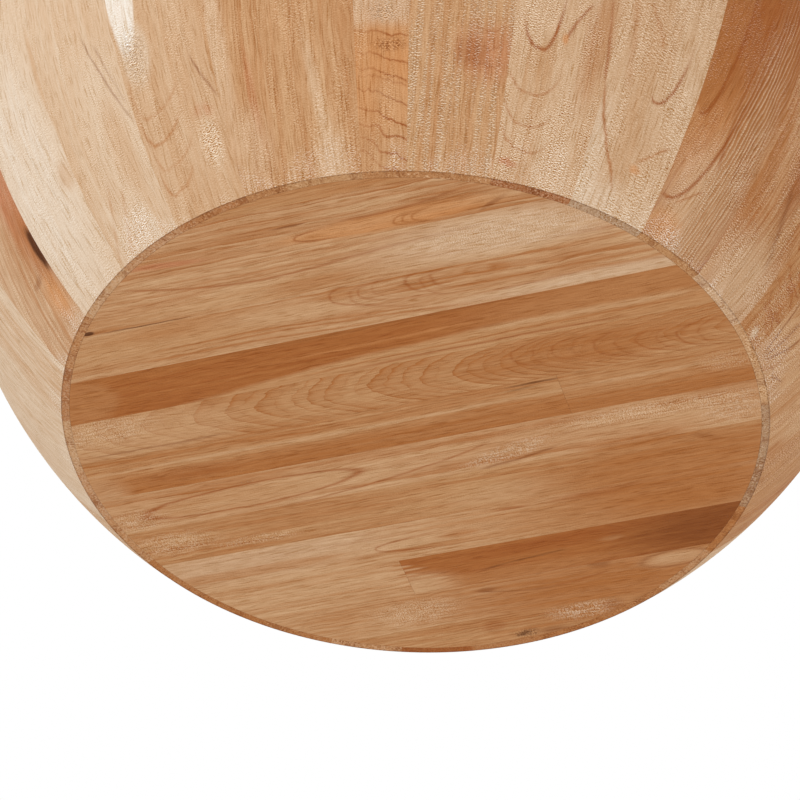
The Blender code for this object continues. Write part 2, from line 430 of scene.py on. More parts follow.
def wood(name, look, seed, end_grain=False):
    """A solid wood material on the piece's own grain: x along, y across, z below the face."""
    graph = Graph(name)
    grain_node = graph.add("ShaderNodeAttribute", {}, attribute_name="grain")
    grain = Field(graph, grain_node.outputs["Vector"])
    parts = graph.add("ShaderNodeSeparateXYZ", {0: grain})
    along, across, below = (Field(graph, parts.outputs[axis]) for axis in "XYZ")

    # Where the grain strays to
    stray = graph.noise(grain, STRAY_SIZE, seed) * look.wander
    ripple = graph.noise(grain, RIPPLE_SIZE, seed + 7.0) * look.wander
    jag = graph.noise(grain, JAG_SIZE, seed + 8.0) * look.wander

    def strayed(place, reach):
        return place + stray * reach[0] + ripple * reach[1] + jag * reach[2]

    run = strayed(along, RUN_REACH)
    side = strayed(across, SIDE_REACH)
    mark_run = strayed(along, MARK_RUN_REACH)
    mark_side = strayed(across, MARK_SIDE_REACH)

    # Growth rings
    off = side - along * look.lean - look.heart[0]
    depth = below + look.heart[1]
    if look.sink:
        depth = depth + graph.length(run - look.crest, CREST_BLUNTNESS) * look.sink
    turns = graph.length(off, depth) / look.pitch
    turns = turns + graph.noise(grain, RING_SIZE, seed + 3.0) * 0.8
    tint = graph.scatter(graph.math("FLOOR", turns) + seed)
    late = graph.math("FRACT", turns) ** look.crisp
    faint = graph.ramp(graph.noise(grain, FAINT_SIZE, seed + 11.0), -0.16, 0.12)
    late = late * (faint * look.fade + (1.0 - look.fade)) * (0.4 + tint * 0.6)

    # Fibres and brushed surface, with painted light and shade on its bumps
    fibre_place = graph.add("ShaderNodeCombineXYZ", {"X": along, "Y": off, "Z": below})
    fibre_place = Field(graph, fibre_place.outputs[0])
    fibre = graph.noise(fibre_place, FIBRE_SIZE, seed + 5.0, detail=3.0, roughness=0.6)
    streak = graph.noise(fibre_place, STREAK_SIZE, seed + 9.0, detail=4.0, roughness=0.6)
    tick = graph.ramp(graph.noise(fibre_place, TICK_SIZE, seed + 29.0, detail=1.0), 0.06, 0.2)
    speck = graph.noise(grain, SPECK_SIZE, seed + 13.0, detail=1.0)
    # painted light and shade of the brushed hollows
    pit_light_and_shade = graph.emboss(grain, PIT_SIZE, seed + 13.0) * PIT_PAINTED_SHADE
    rubbed = graph.ramp(graph.noise(grain, RUBBED_SIZE, seed + 25.0), -0.1, 0.1)
    # painted stipple: light and shade of the brushed hollows, stronger where the brushing is
    painted_stipple = pit_light_and_shade * (0.45 + rubbed * 0.75) * look.rough
    grain_tone_and_painted_shade = painted_stipple + fibre * look.fibre - tick * TICK_DEPTH
    height = speck * look.rough + fibre - tick * 0.3
    cloud = graph.noise(grain, CLOUD_SIZE, seed + 17.0, detail=3.0)

    # Colour
    share = tint * look.zone + late * look.line + streak * look.streak + cloud * 1.2
    share = share + (0.3 - look.zone * 0.5)
    share = graph.math("MAXIMUM", graph.math("MINIMUM", share, 1.0), 0.0)
    colour = graph.mix(share, look.pale, look.deep)
    for mark in () if end_grain else look.marks:
        place = (run, side) if isinstance(mark, Cross) else (mark_run, mark_side)
        strength = mark.mask(graph, *place) * (mark.amount + streak * 0.9)
        if isinstance(mark, Worn):
            # painted light and shade on the worn pits
            grain_tone_and_painted_shade = grain_tone_and_painted_shade + pit_light_and_shade * strength
            strength = strength * graph.ramp(speck + fibre * 0.8, -0.06, 0.12)
        if isinstance(mark, Comb):
            # painted shade in the combed grooves and a painted highlight of the mark's tone on the ridges;
            # the grooves also go into the bump
            ridge = graph.math("FRACT", off / COMB_PITCH + ripple * 0.4)
            strength = strength * (0.75 + pit_light_and_shade)
            grain_tone_and_painted_shade = grain_tone_and_painted_shade - strength * graph.ramp(ridge, 0.5, 0.2) * 0.3
            height = height + ridge * strength
            strength = strength * graph.ramp(ridge, 0.5, 0.8)
        colour = graph.mix(strength, colour, mark.tone)
    painted_glint = painted_stipple
    if look.scuff and not end_grain:
        # pale wear near the foot, with stronger painted light and shade on its bumps and white painted
        # glints on their lit sides
        foot = graph.ramp(along + cloud * 140.0, 15.0, 2.0) * look.scuff
        grain_tone_and_painted_shade = grain_tone_and_painted_shade + pit_light_and_shade * foot * 0.4
        colour = graph.mix(foot * graph.ramp(pit_light_and_shade + fibre, 0.06, 0.3) * 0.45, colour, WHITE)
    if look.chatter:
        column = graph.ramp(graph.noise(grain, COLUMN_SIZE, seed + 19.0), -0.1, 0.12)
        # ridges across the grain: a bump, with painted light and shade and painted glints
        ridge = graph.emboss(grain, RIDGE_SIZE, seed + 15.0) * (0.2 + column * 0.8) * look.chatter
        grain_tone_and_painted_shade = grain_tone_and_painted_shade + graph.math("MAXIMUM", ridge, RIDGE_FLOOR)
        height = height + ridge
        painted_glint = painted_glint + ridge
    # painted glints: cream where the brushed surface catches the light
    colour = graph.mix(graph.ramp(painted_glint, 0.1, 0.45) * 0.35, colour, CREAM)
    if end_grain:
        pore = graph.noise(grain, PORE_SIZE, seed + 21.0)
        ray = graph.noise(grain, RAY_SIZE, seed + 23.0)
        band = graph.noise(grain, BAND_SIZE, seed + 27.0)
        colour = graph.mix(0.75 + pore, colour, look.end)
        colour = graph.mix(graph.ramp(pore + ray + band * 1.5, 0.0, 0.35) * 0.5, colour, UMBER)
        colour = graph.mix(graph.ramp(below + pore * 4.0, 1.2, 0.2) * 0.45, colour, BARK)
    # painted light and shade of the fine bumps, with the grain's own fibre and pore tone
    colour = graph.shade(colour, grain_tone_and_painted_shade)
    graph.plug(graph.shader.inputs["Base Color"], colour)

    # Relief and gloss
    inputs = {"Strength": BUMP_STRENGTH, "Distance": BUMP_DISTANCE, "Height": height - late * look.line}
    bump = graph.add("ShaderNodeBump", inputs)
    graph.plug(graph.shader.inputs["Normal"], Field(graph, bump.outputs["Normal"]))
    graph.plug(graph.shader.inputs["Roughness"], ROUGHNESS + fibre * 0.3 + speck * 0.2)
    graph.shader.inputs["Specular IOR Level"].default_value = SPECULAR
    return graph.material


# Looks of the base boards, from places on the base: along X and across along Y

BASE_LOOKS = {
    "base_board_01": Look(TAN, AMBER, pitch=3.4, line=0.7, marks=(
        Patch((15, -246), (60, 18), HONEY, 0.35),)),
    "base_board_02": Look(STRAW, AMBER, pitch=3.6, heart=(-600, 40), line=0.7, marks=(
        Patch((48, -209), (150, 15), APRICOT, 0.6, soft=0.35),
        Bow((-20, -209), 34, 7, RUSSET, 0.6),
        *(Bow((tip, -207), 24, 7, AMBER, 0.7) for tip in (50, 57, 64)),
        Trace((5, -220), (110, -226), RUSSET, 0.6, sag=5),
        Patch((-22, -222.5), (22, 2), UMBER, 0.8),
        Patch((-118, -210), (56, 5), ROSE, 0.7, tilt=0.08),
        Patch((122, -206), (18, 4), UMBER, 0.4, tilt=-0.5))),
    "base_board_03": Look(STRAW, AMBER, pitch=4.6, heart=(-700, 40), line=0.45, marks=(
        Patch((-60, -166), (260, 16), TAN, 0.5),
        Trace((-170, -199), (0, -181), RUSSET, 0.6, sag=9, width=1.1),
        Trace((-40, -178), (130, -189), RUSSET, 0.6, sag=-1.5, width=1.1),
        Patch((-22, -166), (70, 8), AMBER, 0.5),
        Patch((72, -170), (36, 5), AMBER, 0.4),
        Patch((120, -178), (170, 40), SAND, 0.65),
        Worn((130, -178), (120, 26), CREAM, 0.4),
        Patch((-152, -158.2), (60, 1.4), BARK, 0.5),
        Patch((-194, -160.5), (9, 4), BARK, 0.8, soft=0.3))),
    "base_board_04": Look(STRAW, AMBER, pitch=3.1, heart=(-147, 30), line=0.5, marks=(
        Patch((-150, -140), (200, 34), TAN, 0.75),
        Patch((-120, -148), (120, 12), HONEY, 0.7),
        Patch((-40, -142), (120, 14), STRAW, 0.7, tilt=0.06),
        Trace((-170, -130), (60, -123), AMBER, 0.7, sag=-3),
        Trace((-120, -126), (90, -117), AMBER, 0.7, sag=-3),
        Trace((-180, -122), (30, -116), AMBER, 0.7, sag=-2),
        Trace((40, -136), (250, -134), AMBER, 0.8, width=1.4),
        Patch((180, -121), (190, 11), SAND, 0.7),
        Patch((-8, -150), (30, 11), HONEY, 0.7),
        *arcs(((-14, -148), (0, -145), (6, -147), (17, -149)), RUSSET, 0.5, 1.1,
              ((-1, 34, 13), (1, 60, 19))),
        *arcs(((42, -149), (52, -146), (60, -148)), RUSSET, 0.55, 1.3, ((-1, 18, 9), (1, 16, 15))),
        Loop((95, -148), (20, 8), AMBER, 0.5, soft=0.3),
        Patch((108, -147), (14, 9), AMBER, 0.5))),
    "base_board_05": Look(AMBER, RUSSET, pitch=6.0, heart=(-600, 40), line=0.3, marks=(
        Edge((-143, -74), (247, -91), TAN, 0.95, sag=-8, width=3.0),
        Patch((200, -98), (230, 40), HONEY, 0.8),
        Trace((-90, -76.5), (250, -82), AMBER, 0.7, sag=-4),
        Trace((-40, -74.5), (200, -76), RUSSET, 0.6, sag=-2.5, width=1.3),
        Trace((60, -90), (250, -88), STRAW, 0.7, width=2.5),
        Patch((-228, -94), (60, 44), HONEY, 0.6, soft=0.2),
        Trace((-80, -96), (90, -99), APRICOT, 0.35, sag=-1),
        Patch((-60, -113.6), (330, 2.4), UMBER, 0.4))),
    "base_board_06": Look(TAN, AMBER, pitch=1.6, heart=(-54, 5), sink=0.13, crest=400, lean=0.03,
                          wander=1.2, line=1.1, crisp=4.0, fade=0.6, zone=0.4, streak=1.2, marks=(
        Patch((-205, -52), (170, 50), STRAW, 0.5, soft=0.3),
        Patch((140, -54), (170, 30), AMBER, 0.75),
        *arcs([(92 + 15 * step, -57 + 1.4 * step) for step in range(10)], RUSSET, 0.5, 1.1,
              ((-1, 34, 15), (1, 34, 18))),
        Worn((-222, -60), (70, 26), SAND, 0.5),
        Trace((-250, -36), (-125, -36), UMBER, 0.5))),
    "base_board_07_left": Look(TAN, AMBER, pitch=3.2, heart=(-600, 40), line=0.5, marks=(
        Edge((-260, -7), (260, -8), AMBER, 0.85, width=5.0),
        Patch((-60, -15), (420, 3.5), STRAW, 0.7),
        Patch((-175, -2), (70, 12), RUSSET, 0.4),
        Patch((-250, 5), (40, 30), STRAW, 0.6),
        Patch((100, -28), (40, 2), BARK, 0.5),
        Patch((88, -24), (22, 1.6), BARK, 0.4))),
    "base_board_07_right": Look(TAN, AMBER, pitch=3.4, heart=(-600, 40), line=0.4, marks=(
        Edge((100, -7), (260, -6), AMBER, 0.8, width=5.0),
        Worn((240, -14), (40, 18), SAND, 0.3),
        Patch((180, -15), (110, 3.5), STRAW, 0.6))),
    "base_board_08": Look(STRAW, AMBER, pitch=9.0, heart=(-500, 40), line=0.35, streak=1.6, marks=(
        Patch((-140, 33), (160, 22), TAN, 0.45, tilt=-0.05),
        Loop((-140, 33), (172, 24), RUSSET, 0.7, tilt=-0.04, soft=0.07),
        Trace((-120, 52), (62, 20), RUSSET, 0.6, sag=7),
        Trace((30, 52), (100, 40), UMBER, 0.5, sag=2, width=1.2),
        Patch((190, 28), (150, 26), STRAW, 0.2),
        Worn((170, 22), (130, 14), SAND, 0.5),
        Worn((232, 34), (44, 28), CREAM, 0.35),
        Patch((167, 43), (60, 8), AMBER, 0.4),
        Worn((60, 38), (60, 14), CREAM, 0.5, tilt=-0.2),
        Worn((-235, 40), (40, 20), SAND, 0.5),
        Patch((150, 50), (90, 9), AMBER, 0.8))),
    "base_board_09": Look(TAN, AMBER, pitch=4.0, heart=(-500, 40), line=0.5, marks=(
        Patch((-130, 66), (140, 6), AMBER, 0.5, tilt=0.04),
        Patch((-110, 76), (110, 4), AMBER, 0.5, tilt=-0.03),
        Worn((-215, 72), (60, 22), SAND, 0.5),
        Worn((-150, 84), (60, 9), SAND, 0.5),
        Patch((45, 82), (80, 22), STRAW, 0.5),
        Patch((155, 54), (80, 8), AMBER, 0.8),
        Patch((205, 60), (18, 6), UMBER, 0.5, tilt=0.4),
        Patch((180, 80), (190, 40), AMBER, 0.9))),
    "base_board_10": Look(STRAW, HONEY, pitch=3.4, heart=(-700, 40), line=0.85, marks=(
        Patch((-160, 104), (190, 44), SAND, 0.45),
        Patch((-175, 119), (170, 11), HONEY, 0.6, soft=0.3),
        Bow((-68, 119.5), 80, 10, RUSSET, 0.6),
        Patch((0, 118), (30, 7), AMBER, 0.7),
        Patch((140, 116), (230, 50), HONEY, 0.8),
        Patch((45, 100), (24, 3), RUSSET, 0.6),
        Patch((125, 100), (80, 9), RUSSET, 0.7),
        Patch((180, 112), (150, 60), AMBER, 0.9))),
    "base_board_11_left": Look(STRAW, HONEY, pitch=2.8, heart=(-700, 40), line=0.6, marks=(
        *(Patch((x, y), (14, 1.6), AMBER, 0.7) for x, y in
          ((-56, 142), (-60, 147), (-55, 153), (-59, 156))),)),
    "base_board_11_right": Look(AMBER, RUSSET, pitch=7.0, heart=(-500, 40), line=0.5, marks=(
        Patch((70, 146), (130, 16), RUSSET, 0.7),
        Patch((200, 158), (150, 60), UMBER, 0.9),
        Patch((20, 173), (170, 16), HONEY, 0.6),
        Patch((-52, 171), (52, 26), STRAW, 0.9, soft=0.8),
        *(Patch((x, y), (length, 2.2), STRAW, 0.8, soft=0.8) for x, y, length in
          ((-56, 144, 12), (-52, 149, 20), (-54, 155, 14), (-44, 159, 22), (-36, 164, 16))),
        Trace((0, 165), (80, 157), BARK, 0.4, sag=-2),
        Patch((108, 152), (18, 5), TAN, 0.4))),
    "base_board_12": Look(STRAW, HONEY, pitch=4.5, heart=(-500, 40), line=0.5, marks=(
        Patch((100, 202), (260, 60), AMBER, 0.9),
        Patch((0, 188), (14, 6), UMBER, 0.4),
        Trace((-15, 185), (60, 197), UMBER, 0.5, sag=4),
        Trace((50, 196), (100, 188), RUSSET, 0.6, sag=2),
        Patch((150, 188), (50, 15), STRAW, 0.7),
        Loop((150, 188), (54, 18), UMBER, 0.35, soft=0.12),
        Patch((92, 180), (16, 8), UMBER, 0.5),
        Worn((-60, 200), (60, 26), SAND, 0.6))),
    "base_board_13": Look(TAN, AMBER, pitch=3.2, heart=(-600, 40), line=0.9, marks=(
        Patch((-6, 233), (18, 12), RUSSET, 0.5),
        Worn((68, 231), (50, 18), CREAM, 0.9),
        Patch((92, 232), (18, 16), UMBER, 0.5),
        Patch((110, 232), (180, 40), AMBER, 0.5),
        Patch((13, 247), (11, 4), BARK, 0.6, tilt=-0.2),
        Worn((16, 247), (20, 9), BARK, 0.6),
        Patch((40, 249), (26, 8), UMBER, 0.5))),
}

# Looks of the staves, from places on the outside: up from the foot and across from the middle

STAVE_LOOKS = {
    1: Look(SAND, HONEY, pitch=6.0, rough=0.45, line=0.3, lean=0.22, scuff=0.7, end=HONEY, marks=(
        Patch((105, 30), (110, 34), ROSE, 0.8),
        Patch((66, 28), (80, 26), AMBER, 0.6),
        Patch((66, 31), (36, 10), BARK, 0.95, soft=0.35),
        Patch((28, 18), (36, 22), APRICOT, 0.7),
        Patch((50, 9), (6, 14), UMBER, 0.5),
        Patch((75, 4), (60, 24), HONEY, 0.4))),
    2: Look(CREAM, SAND, pitch=7.0, line=0.3, streak=0.9, fibre=0.4, rough=0.38, scuff=0.6,
            end=TAN, marks=(
        Patch((110, -5), (240, 90), CREAM, 0.85),
        Patch((110, -5), (200, 70), WHITE, 0.3),
        Patch((84, 27), (22, 14), STRAW, 0.5),
        Patch((168, 37), (80, 6), STRAW, 0.6))),
    3: Look(CREAM, STRAW, pitch=7.0, line=0.3, streak=0.9, fibre=0.45, rough=0.45, scuff=0.6,
            end=HONEY, marks=(
        Patch((120, 0), (280, 100), SAND, 0.35),
        Patch((95, 14), (110, 44), CREAM, 0.6),
        Trace((168, 8), (78, 35), UMBER, 0.45, sag=-1),
        Trace((156, 18), (96, 34), UMBER, 0.3),
        Patch((70, 15), (70, 20), STRAW, 0.5),
        Trace((0, -30), (60, -6), HONEY, 0.3, width=1.4),
        Trace((0, -16), (48, 2), HONEY, 0.3, width=1.3),
        Worn((14, -4), (26, 26), WHITE, 0.4))),
    4: Look(SAND, TAN, pitch=6.0, line=0.3, streak=0.9, fibre=0.45, rough=0.5, scuff=0.5,
            end=AMBER, marks=(
        # the cream patch and white tongue here are a painted highlight
        Patch((126, -22), (46, 24), CREAM, 0.8, soft=0.3),
        Tongue((120, -27), 20, 9, WHITE, 0.85, width=22, fade=150),
        Worn((126, -23), (40, 19), DRIFT, 0.7),
        *arcs(((57, -22), (78, -22), (21, -20), (38, -19)), HONEY, 0.7, 1.3, ((-1, 30, 11), (1, 20, 26))),
        Trace((112, 19), (70, 33), UMBER, 0.5),
        Patch((66, 19), (10, 14), ROSE, 0.3),
        Worn((42, 18), (30, 14), CREAM, 0.9))),
    5: Look(STRAW, HONEY, pitch=3.5, heart=(-200, 30), lean=0.07, line=0.9, streak=1.6, rough=0.45,
            scuff=0.5, end=HONEY, marks=(
        Patch((105, -14), (130, 15), SAND, 0.8),
        Patch((65, 6), (60, 6), ROSE, 0.4),
        Patch((30, -2), (50, 30), SAND, 0.5))),
    6: Look(STRAW, HONEY, pitch=2.6, heart=(250, 50), line=0.5, streak=1.4, rough=0.5, scuff=0.45,
            end=TAN, marks=(
        Patch((50, 5), (96, 8), SAND, 0.7, tilt=-0.12),
        Patch((10, 8), (50, 18), SAND, 0.7))),
    7: Look(STRAW, HONEY, pitch=14.0, wander=0.8, streak=1.2, rough=0.5, scuff=0.6, end=HONEY, marks=(
        Patch((66, -4), (70, 70), APRICOT, 0.7),
        Tongue((95, 0), 0, 20, CREAM, 0.45, width=12, fade=180),
        Patch((60, -8), (120, 30), HONEY, 0.25),
        Worn((110, 2), (16, 18), DRIFT, 0.8),
        Worn((86, 5), (8, 20), UMBER, 0.7),
        *(Cross((left, -19), (right, 19), RUSSET, amount, sag=-1.5, width=0.8) for left, right, amount in
          ((99, 91, 0.8), (84, 72, 0.8), (73, 59, 0.8), (68, 56, 0.5), (59, 43, 1.0), (45, 27, 1.0),
           (34, 17, 0.8), (24, 5, 0.8), (15, -4, 0.6))),
        Patch((50, 4), (24, 22), STRAW, 0.4))),
    8: Look(STRAW, HONEY, pitch=4.6, heart=(300, 50), line=0.3, streak=1.2, rough=0.3, chatter=3.2,
            scuff=0.5, end=HONEY, marks=(
        Patch((70, -28), (190, 13), STRAW, 0.8, soft=0.3),
        Patch((86, 20), (38, 40), ROSE, 0.55),
        Patch((84, 9), (20, 20), RUSSET, 0.55),
        *(Cross((s, 2), (s - 1, 30), RUSSET, 0.4, width=0.7) for s in (104, 92, 80)))),
    9: Look(SAND, TAN, pitch=5.0, line=0.4, streak=0.9, rough=0.95, scuff=0.3, end=RUSSET, marks=(
        Tongue((96, -16), 30, 15, SAND, 0.6, width=4, fade=200),
        *arcs(((95, -14),), RUSSET, 0.85, 1.3, ((-1, 22, 17), (1, 60, 15))),
        *(Bow(tip, 22, 22, AMBER, 0.5) for tip in ((62, -16), (40, -14), (22, -12))),
        Patch((110, 24), (90, 18), HONEY, 0.6, tilt=0.1),
        Trace((104, 2), (136, 17), RUSSET, 0.7, sag=-2, width=1.4),
        Patch((107, 2), (8, 4), APRICOT, 0.8),
        Trace((80, 34), (150, 29), RUSSET, 0.5, width=1.2),
        Patch((50, 6), (100, 11), SAND, 0.6, tilt=0.12),
        Patch((12, 17), (40, 28), SAND, 0.7),
        Patch((12, -21), (5, 12), ROSE, 0.7))),
    10: Look(SAND, TAN, pitch=9.0, line=0.1, zone=0.15, streak=0.8, rough=0.8, scuff=0.2,
             end=DRIFT, marks=(
        Patch((25, -25), (90, 16), CREAM, 0.7, tilt=-0.1),
        Patch((5, 0), (32, 70), CREAM, 0.6),
        Patch((22, 16), (36, 24), SAND, 0.7),
        Trace((12, 0), (92, -37), AMBER, 0.75, sag=-4.5, width=1.3),
        Trace((160, -31), (80, -17), HONEY, 0.45, sag=1, width=3.0),
        *arcs(((87, 5),), RUSSET, 0.8, 1.3, ((-1, 3, 4), (1, 56, 20))),
        Trace((156, -18), (122, 2), HONEY, 0.5, width=2.0),
        Patch((37, 7), (6, 8), APRICOT, 0.7),
        Trace((40, 5), (62, 28), HONEY, 0.7, width=1.6))),
    11: Look(TAN, RUSSET, pitch=3.6, heart=(-300, 30), lean=0.12, line=0.8, rough=0.65, scuff=0.6,
             end=TAN, marks=(
        Patch((80, -15), (110, 44), APRICOT, 0.5),
        Patch((35, 0), (90, 60), SAND, 0.6),
        Patch((10, -16), (22, 26), APRICOT, 0.6),
        Worn((6, -4), (14, 18), WHITE, 0.5),
        Patch((200, -5), (190, 110), AMBER, 0.9),
        Patch((215, -5), (150, 110), RUSSET, 0.6),
        Patch((75, 15), (180, 26), HONEY, 0.5, tilt=0.08),
        Comb((75, 13), (240, 34), SAND, 0.9, tilt=0.08),
        Worn((90, 26), (70, 14), SAND, 0.5, tilt=0.1),
        Tongue((95, -30), 200, 20, AMBER, 0.7, width=4, fade=200),
        Bow((95, -30), 200, 20, RUSSET, 0.95, width=1.6, side=1),
        Bow((30, -28), 160, 40, RUSSET, 0.8, width=1.5, side=1),
        Trace((60, 4), (150, 2), RUSSET, 0.5, sag=-5, width=1.4),
        Trace((28, -18), (48, 0), AMBER, 0.6, width=1.4))),
    12: Look(STRAW, AMBER, pitch=5.5, heart=(300, 40), line=0.7, rough=0.8, lean=0.05, scuff=0.8,
             end=SAND, marks=(
        Comb((60, 10), (130, 34), STRAW, 0.6, tilt=0.05),
        Patch((85, -27), (110, 14), AMBER, 0.6),
        Patch((125, 6), (100, 20), RUSSET, 0.7),
        Trace((104, 0), (34, 19), UMBER, 0.5, width=2.5),
        Patch((16, 5), (70, 70), SAND, 0.65))),
    13: Look(TAN, AMBER, pitch=8.0, heart=(60, 0), sink=0.6, crest=420, wander=1.4, line=0.9,
             rough=0.8, scuff=0.5, end=STRAW, marks=(
        *(Cross((left, -15), (right, 16), RUSSET, amount, sag=sag, width=1.0)
          for left, right, amount, sag in
          ((22, 19, 0.7, 4), (33, 29, 0.8, -4), (44, 42, 0.6, 5), (57, 52, 0.8, -3), (70, 63, 0.6, 3))),
        Cross((12, -5), (7, 8), RUSSET, 0.7, width=1.2),
        Patch((6, 2), (9, 7), CREAM, 0.8))),
    14: Look(STRAW, HONEY, pitch=6.0, heart=(-100, 20), sink=0.4, crest=300, wander=1.4, line=1.0,
             rough=0.8, scuff=0.45, end=STRAW, marks=(
        Trace((2, -19), (58, -29), UMBER, 0.55, width=0.9),
        Trace((2, -18), (52, -14), UMBER, 0.6, sag=2, width=0.9),
        Trace((2, -17), (47, 0), UMBER, 0.55, sag=3, width=0.9),
        Cross((13, -6), (17, 19), UMBER, 0.6, sag=-5, width=1.0))),
    15: Look(STRAW, HONEY, pitch=6.0, line=0.5, rough=0.7, end=DRIFT, marks=(
        Patch((5, 28), (30, 20), AMBER, 0.6),)),
    16: Look(TAN, AMBER, pitch=5.0, line=0.6, lean=-0.12, rough=0.8, end=DRIFT),
    28: Look(CREAM, SAND, pitch=7.0, line=0.3, rough=0.3, end=HONEY),
    29: Look(CREAM, SAND, pitch=7.0, line=0.3, rough=0.3, scuff=0.4, end=TAN),
    30: Look(CREAM, STRAW, pitch=7.0, line=0.3, rough=0.3, scuff=0.6, end=AMBER),
}

SLOT_LOOKS = {
    "pale_wood": Look(SAND, STRAW, end=HONEY),
    "tan_wood": Look(STRAW, HONEY, end=AMBER),
    "honey_wood": Look(TAN, AMBER, end=AMBER),
    "brown_wood": Look(HONEY, RUSSET, end=RUSSET),
}
rng = random.Random(11)


def drawn_look(name):
    """A look for a piece that the photograph doesn't show, drawn for its tone."""
    low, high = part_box(name)
    span = (high - low).length / MM
    middle = (low + high) / 2 / MM
    across = 0.0 if name.startswith("stave") else middle.y
    figure = {"heart": (across + rng.choice((-1, 1)) * rng.uniform(150.0, 400.0), 40.0)}
    if rng.random() < 0.45:
        figure = {"heart": (across + rng.uniform(-12.0, 12.0), rng.uniform(4.0, 14.0)), "sink": 0.2,
                  "crest": rng.uniform(-0.6, 0.9) * span, "streak": 1.4}
    return replace(SLOT_LOOKS[slots[name]], pitch=rng.uniform(3.2, 6.0), line=rng.uniform(0.5, 0.9),
                   rough=rng.uniform(0.25, 0.65), **figure)


def look_of(name):
    if name in BASE_LOOKS:
        return BASE_LOOKS[name]
    if name.startswith("stave") and int(name[-2:]) in STAVE_LOOKS:
        return STAVE_LOOKS[int(name[-2:])]
    return drawn_look(name)


def materials_of(name):
    """A piece's wood on its faces and on its ends."""
    look = look_of(name)
    seed = rng.uniform(0.0, 90.0)
    return wood(name + "_face", look, seed), wood(name + "_end", look, seed, end_grain=True)


# Shapes read from the frame

def section(node):
    """Every vertex of a CAD node as (distance from the middle axis, height)."""
    return [(math.hypot(v.co.x, v.co.y), v.co.z) for v in nodes[node].data.vertices]


class Arc:
    """The circle through three points of the wall's section."""

    def __init__(self, a, b, c):
        ab = Vector((a[0] - b[0], a[1] - b[1]))
        bc = Vector((b[0] - c[0], b[1] - c[1]))
        ab_half = (ab.x * (a[0] + b[0]) + ab.y * (a[1] + b[1])) / 2
        bc_half = (bc.x * (b[0] + c[0]) + bc.y * (b[1] + c[1])) / 2
        cross = ab.x * bc.y - ab.y * bc.x
        self.middle = (ab_half * bc.y - bc_half * ab.y) / cross
        self.belly = (ab.x * bc_half - bc.x * ab_half) / cross
        self.size = math.hypot(a[0] - self.middle, a[1] - self.belly)

    def radius(self, z):
        return self.middle + math.sqrt(self.size ** 2 - (z - self.belly) ** 2)

    def length(self, z):
        """Distance along the arc from the floor."""
        return self.size * (math.asin((z - self.belly) / self.size) + math.asin(self.belly / self.size))


def read_wall():
    """The wall's outer and inner arcs, its top, the height of its rebate and the radius inside its lip."""
    points = section("stave_01")
    top = max(z for _, z in points)
    foot = max(p for p in points if p[1] < MM)
    widest = max(points)
    upper = max(p for p in points if p[1] > top - 1.5 * RIM_CHAMFER)
    outer = Arc(foot, widest, upper)
    shoulder = min(points)
    mouth = min(p for p in points if p[1] > top - MM)
    free = [p for p in points
            if shoulder[1] + MM < p[1] < mouth[1] - MM and p[0] < outer.radius(p[1]) - MM]
    inner = Arc(shoulder, min(free, key=lambda p: abs(p[1] - top / 2)), mouth)
    lip = min(r for r, z in points if z < MM)
    return outer, inner, top, shoulder[1], lip


outer_wall, inner_wall, WALL_TOP, SHOULDER_Z, LIP_RADIUS = read_wall()


def even(low, high, steps):
    return [low + (high - low) * i / steps for i in range(steps + 1)]


def add_piece(name, rings, flows, end_faces, body):
    """A closed mesh through rings of points, standing for the CAD node of its name.

    flows holds (along, across, below) for each point, and end_faces the numbers of the points
    that start a strip of end grain.
    """
    shape = bmesh.new()
    loops = [[shape.verts.new(point) for point in ring] for ring in rings]
    count = len(loops[0])
    for lower, upper in zip(loops, loops[1:]):
        for i in range(count):
            j = (i + 1) % count
            face = shape.faces.new((lower[i], lower[j], upper[j], upper[i]))
            face.material_index = int(i in end_faces)
    shape.faces.new(loops[0])
    shape.faces.new(loops[-1])
    bmesh.ops.recalc_face_normals(shape, faces=shape.faces)
    mesh = bpy.data.meshes.new(name)
    shape.to_mesh(mesh)
    shape.free()
    grain = mesh.attributes.new("grain", "FLOAT_VECTOR", "POINT")
    grain.data.foreach_set("vector", [part / MM for flow in flows for place in flow for part in place])
    mesh.shade_smooth()
    mesh.set_sharp_from_angle(angle=SMOOTH_ANGLE)
    for material in materials_of(name):
        mesh.materials.append(material)
    piece = bpy.data.objects.new(name + "_wood", mesh)
    bpy.context.scene.collection.objects.link(piece)
    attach(piece, body)
    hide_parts(name)


# Staves

def stave_profile(ease):
    """Section of the wall as (radius, z), set back by ease: up outside, over the rim, down inside."""
    rim_z = WALL_TOP - RIM_CHAMFER
    rim_top = WALL_TOP - ease
    outside = [(outer_wall.radius(z) - ease, max(z, ease)) for z in even(0.0, rim_z, STAVE_ROWS)]
    rim = [(outer_wall.radius(WALL_TOP) - RIM_CHAMFER, rim_top)]
    inside = [(inner_wall.radius(z) + ease, min(z, rim_top))
              for z in even(WALL_TOP, SHOULDER_Z, STAVE_ROWS)]
    rebate = [(LIP_RADIUS + ease, SHOULDER_Z), (LIP_RADIUS + ease, ease)]
    return outside + rim + inside + rebate


def stave_span(name):
    """Angles of a stave's two seams."""
    angles = [math.atan2(v.co.y, v.co.x) for v in nodes[name].data.vertices]
    first = angles[0]
    turned = [(a - first + math.pi) % (2 * math.pi) - math.pi for a in angles]
    return first + min(turned), first + max(turned)


